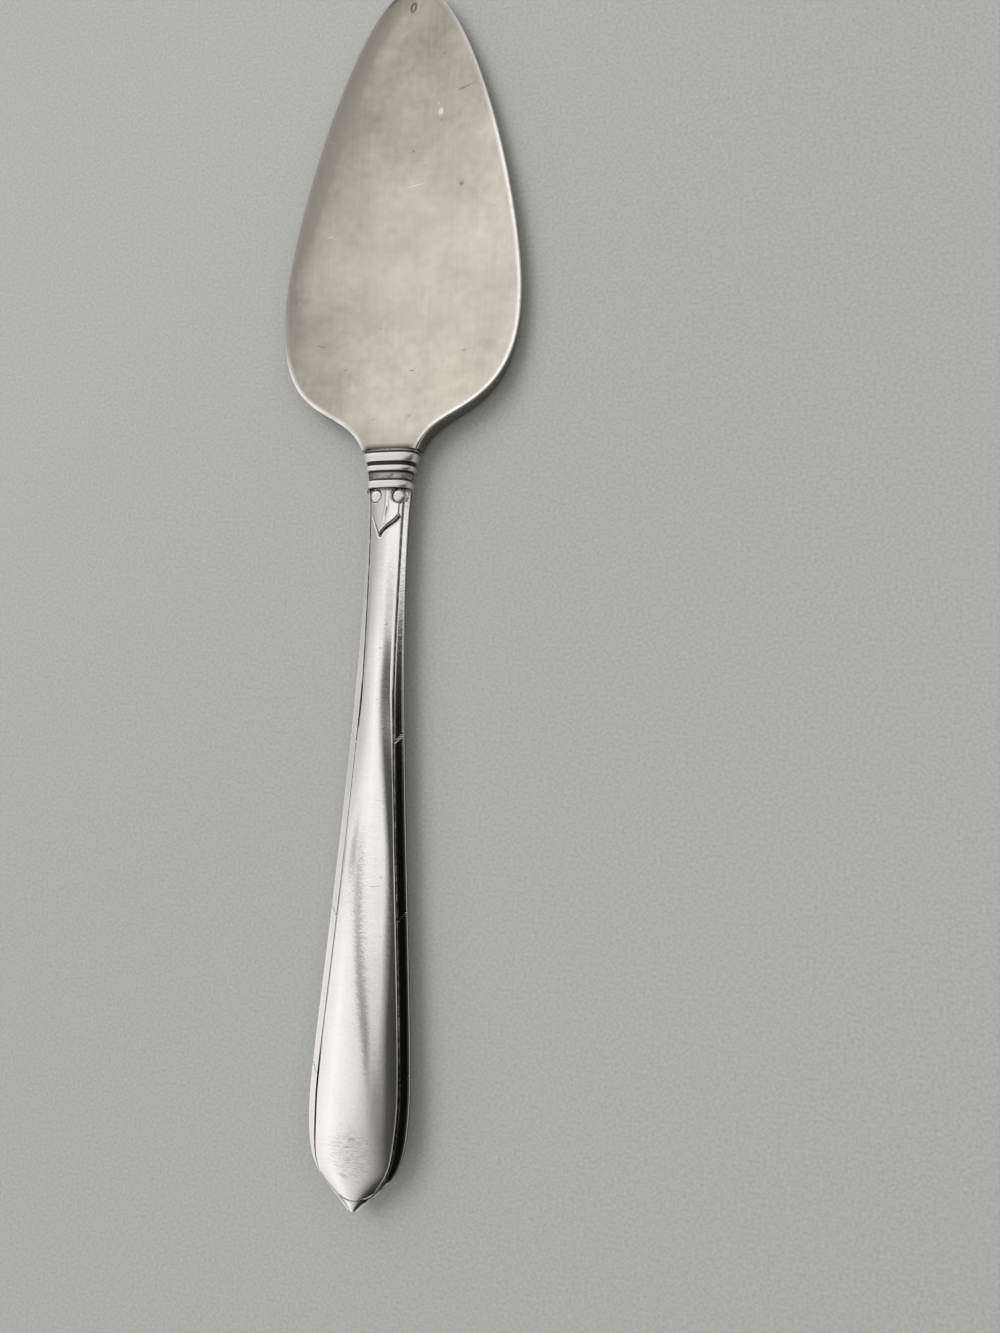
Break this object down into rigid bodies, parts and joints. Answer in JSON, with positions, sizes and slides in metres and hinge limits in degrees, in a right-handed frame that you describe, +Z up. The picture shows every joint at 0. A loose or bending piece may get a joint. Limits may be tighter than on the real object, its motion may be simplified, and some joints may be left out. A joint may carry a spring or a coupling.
{
  "type": "cheese server",
  "caption": "Flat spade-bladed cheese server with a reeded neck ferrule and a slim hollow handle that swells to a pointed end; lifts and serves slices of cheese.",
  "frame": {"origin": "centre of the overall box at the table surface", "axes": "+Y along the server from the handle's pointed end to the blade tip, +Z up from the table, X across the blade"},
  "size_m": [0.033, 0.158, 0.005],
  "materials": {
    "satin_plate": "satin silver plate with fine scratches",
    "bright_plate": "polished silver plate with light wear",
    "seam_solder": "dull solder line",
    "cement": "matt set filler"
  },
  "bodies": {
    "root": {"blade": "satin_plate", "neck_ferrule": "bright_plate", "handle_top_shell": "bright_plate", "handle_bottom_shell": "bright_plate", "seam_solder_left": "seam_solder", "seam_solder_right": "seam_solder", "handle_cement": "cement"}
  },
  "joints": []
}
